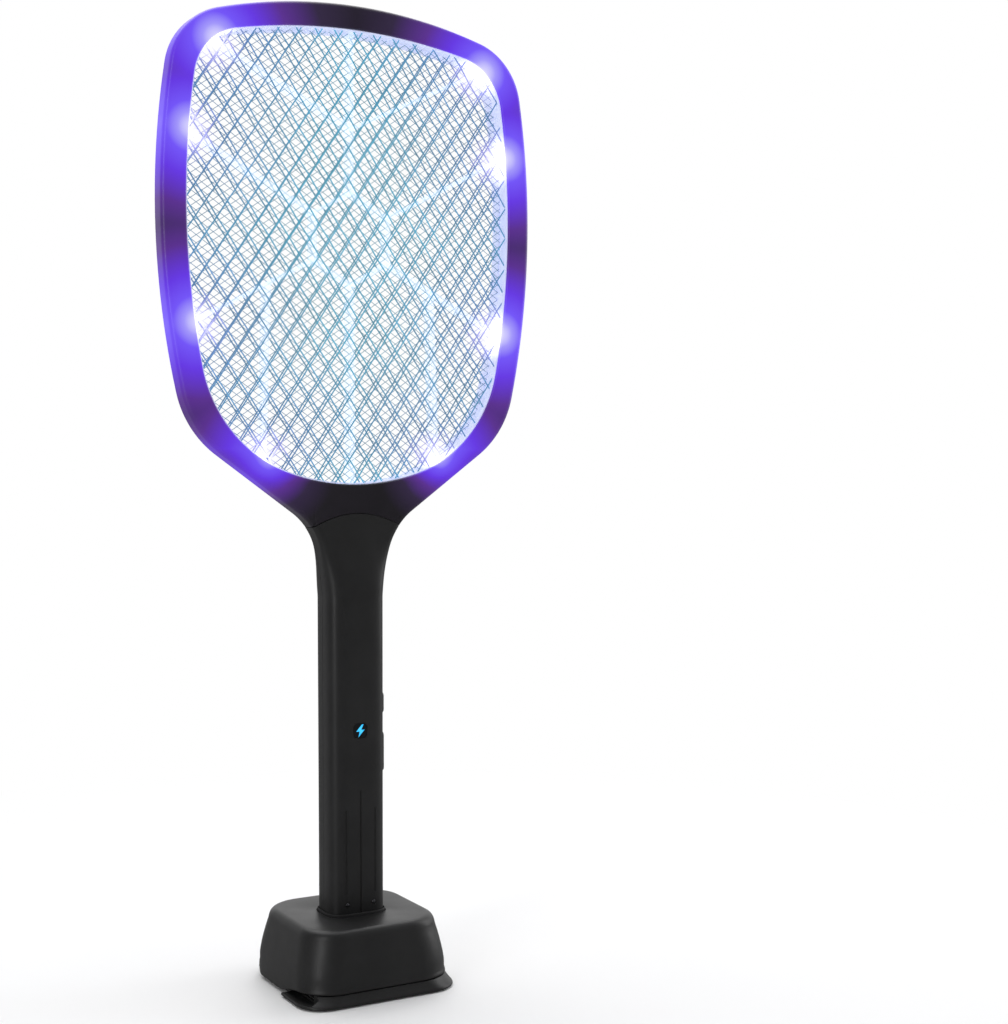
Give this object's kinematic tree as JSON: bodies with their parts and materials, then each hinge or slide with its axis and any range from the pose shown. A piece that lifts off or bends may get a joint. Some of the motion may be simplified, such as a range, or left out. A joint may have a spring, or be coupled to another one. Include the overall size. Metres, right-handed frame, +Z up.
{
  "type": "electric fly swatter",
  "caption": "Racket-shaped electric fly swatter with lamps round its net, a straight handle with two side controls, standing in a drafted charging base.",
  "frame": {"origin": "on the floor, under the middle of the charging base and the racket's axis", "axes": "+Z up along the racket, X across the net, -Y out of the front of the net"},
  "size_m": [0.2144, 0.0904, 0.5264],
  "materials": {
    "head_plastic": "satin moulded black plastic, lit violet by the lamps",
    "black_plastic": "fine-grained matte black moulding",
    "control_plastic": "soft matte black",
    "safety_net_wire": "teal anodised wire",
    "centre_net_wire": "dark oxidised wire",
    "clear_plastic": "milky translucent plastic",
    "lamp_dome": "lit violet-white dome",
    "red_wire": "insulated lead",
    "black_wire": "insulated lead",
    "bright_steel": "plated steel",
    "contact_gold": "gold-plated contact",
    "indicator_window": "smoked window with a lit cyan bolt",
    "circuit_board": "green solder mask",
    "component_plastic": "moulded component body",
    "transformer_core": "ferrite with yellow tape",
    "capacitor_film": "dipped film capacitor",
    "cell_wrap": "lithium-ion cell in a shrink wrap",
    "rubber": "matt black rubber",
    "ballast_iron": "plain ballast plate"
  },
  "bodies": {
    "base": {"base_housing": "black_plastic", "base_foot_plate": "black_plastic", "base_foot_1": "rubber", "base_foot_2": "rubber", "base_foot_3": "rubber", "base_foot_4": "rubber", "socket_collar": "rubber", "ballast_weight": "ballast_iron", "contact_block": "component_plastic", "charge_inlet": "bright_steel"},
    "racket": {"head_front_frame": "head_plastic", "head_rear_frame": "head_plastic", "front_safety_net": "safety_net_wire", "high_voltage_net": "centre_net_wire", "rear_safety_net": "safety_net_wire", "front_support_ring": "clear_plastic", "rear_support_ring": "clear_plastic", "uv_lamp_1": "lamp_dome", "uv_lamp_2": "lamp_dome", "uv_lamp_3": "lamp_dome", "uv_lamp_4": "lamp_dome", "uv_lamp_5": "lamp_dome", "uv_lamp_6": "lamp_dome", "uv_lamp_7": "lamp_dome", "uv_lamp_8": "lamp_dome", "lamp_supply_wire": "red_wire", "handle_front_shell": "black_plastic", "handle_rear_shell": "black_plastic", "handle_end_cap": "black_plastic", "handle_screw_lower": "bright_steel", "handle_screw_upper": "bright_steel", "zap_switch": "component_plastic", "mode_switch": "bright_steel", "indicator_window": "indicator_window", "main_circuit_board": "circuit_board", "step_up_transformer": "transformer_core", "high_voltage_capacitor_1": "capacitor_film", "high_voltage_capacitor_2": "capacitor_film", "drive_transistor": "component_plastic", "battery_cell": "cell_wrap", "battery_contact_lower": "bright_steel", "battery_contact_upper": "bright_steel", "centre_net_lead": "red_wire", "safety_net_lead": "black_wire", "charge_pad_left": "contact_gold", "charge_pad_right": "contact_gold", "contact_rivet_left": "bright_steel", "contact_rivet_right": "bright_steel", "charge_lead_left": "red_wire", "charge_lead_right": "red_wire"},
    "zap_button": {"zap_button": "control_plastic"},
    "mode_switch_knob": {"mode_switch_knob": "control_plastic"},
    "spring_contact_left": {"spring_contact_left": "contact_gold"},
    "spring_contact_right": {"spring_contact_right": "contact_gold"}
  },
  "joints": [
    {"name": "racket_lift", "type": "slide", "parent": "base", "child": "racket", "axis": [0, 0, 1], "range_m": [0, 0.06]},
    {"name": "zap_press", "type": "slide", "parent": "racket", "child": "zap_button", "axis": [-1, 0, 0], "range_m": [0, 0.0015], "stiffness_N_per_m": 800},
    {"name": "mode_slide", "type": "slide", "parent": "racket", "child": "mode_switch_knob", "axis": [0, 0, 1], "range_m": [-0.004, 0]},
    {"name": "charge_pin_left", "type": "slide", "parent": "base", "child": "spring_contact_left", "axis": [0, 0, 1], "range_m": [-0.0012, 0], "stiffness_N_per_m": 500},
    {"name": "charge_pin_right", "type": "slide", "parent": "base", "child": "spring_contact_right", "axis": [0, 0, 1], "range_m": [-0.0012, 0], "stiffness_N_per_m": 500}
  ]
}
